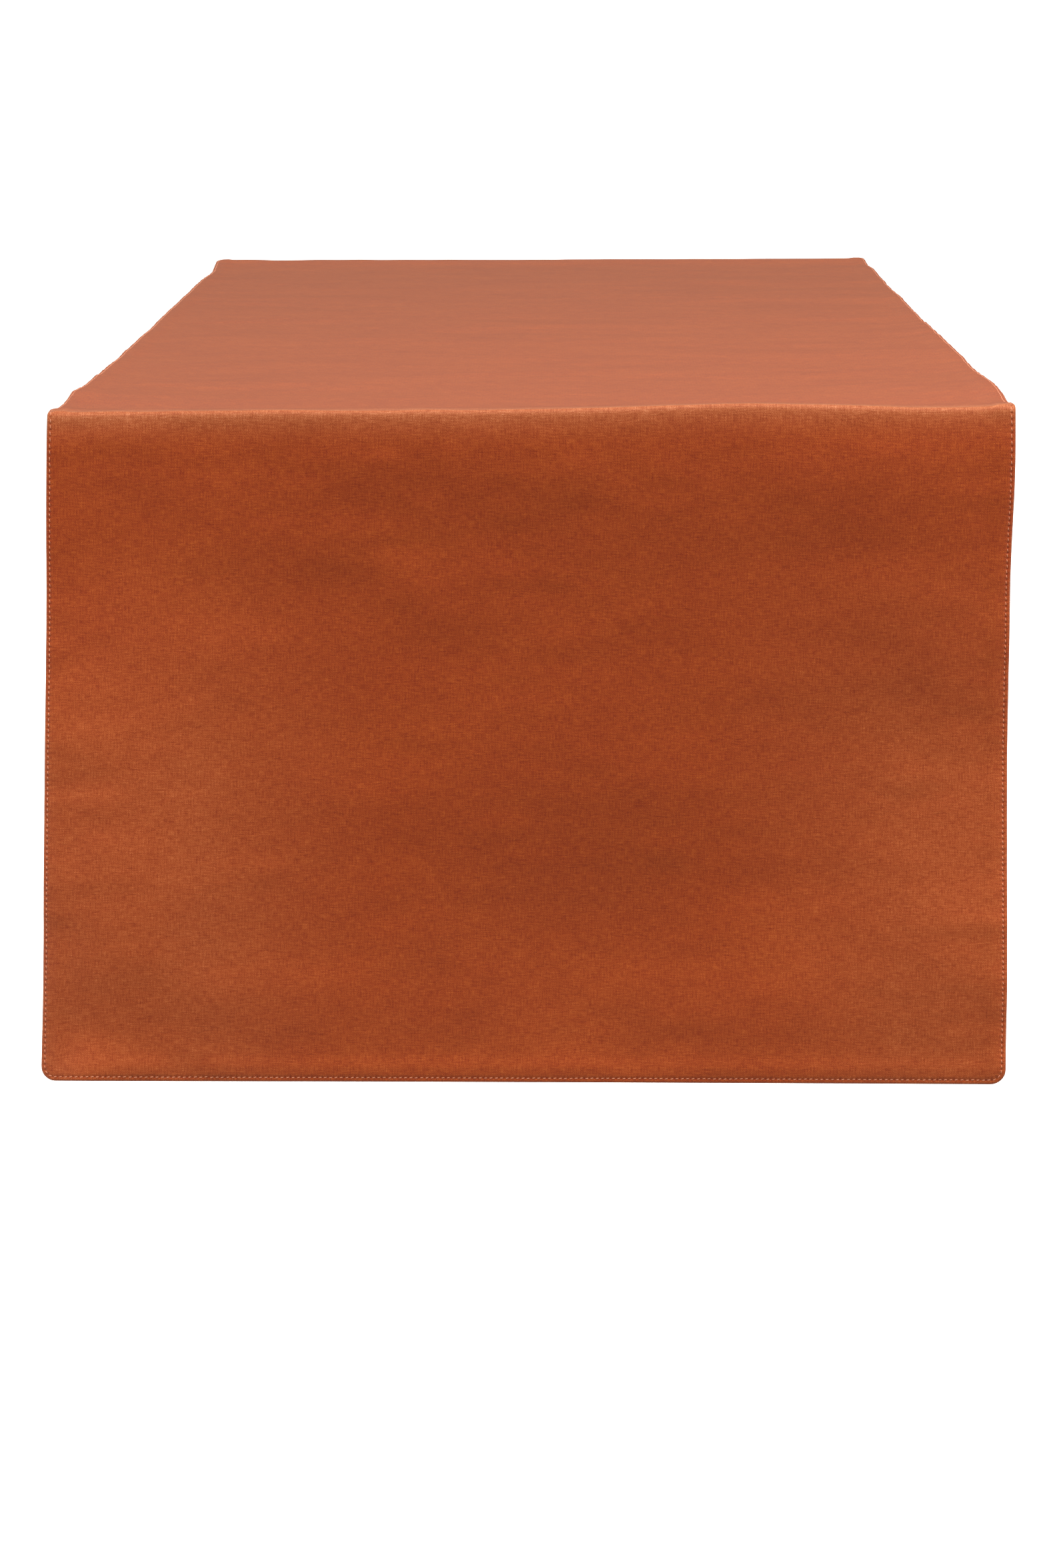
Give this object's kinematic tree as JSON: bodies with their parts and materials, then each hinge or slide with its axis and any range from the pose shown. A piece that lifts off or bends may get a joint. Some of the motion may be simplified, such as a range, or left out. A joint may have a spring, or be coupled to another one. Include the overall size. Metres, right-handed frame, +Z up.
{
  "type": "table runner",
  "caption": "Lined cloth table runner with rounded corners and edge stitching, draped over a tabletop so that both ends hang down.",
  "frame": {"origin": "middle of the underside of the top run, the face that lies on the table", "axes": "+X across the runner, +Y along the runner towards its back end, +Z up from the tabletop"},
  "size_m": [0.45, 1.1878, 0.3121],
  "materials": {
    "face_cloth": "washed plain-weave linen, matt, terracotta",
    "backing_cloth": "washed plain-weave linen, matt, terracotta",
    "thread": "spun polyester sewing thread, pale peach",
    "label_ribbon": "blank woven satin ribbon, off-white"
  },
  "bodies": {
    "root": {"face_cloth": "face_cloth", "backing_cloth": "backing_cloth", "turning_seam_thread": "thread", "edge_stitch_needle_thread": "thread", "edge_stitch_bobbin_thread": "thread", "care_label": "label_ribbon"}
  },
  "joints": []
}
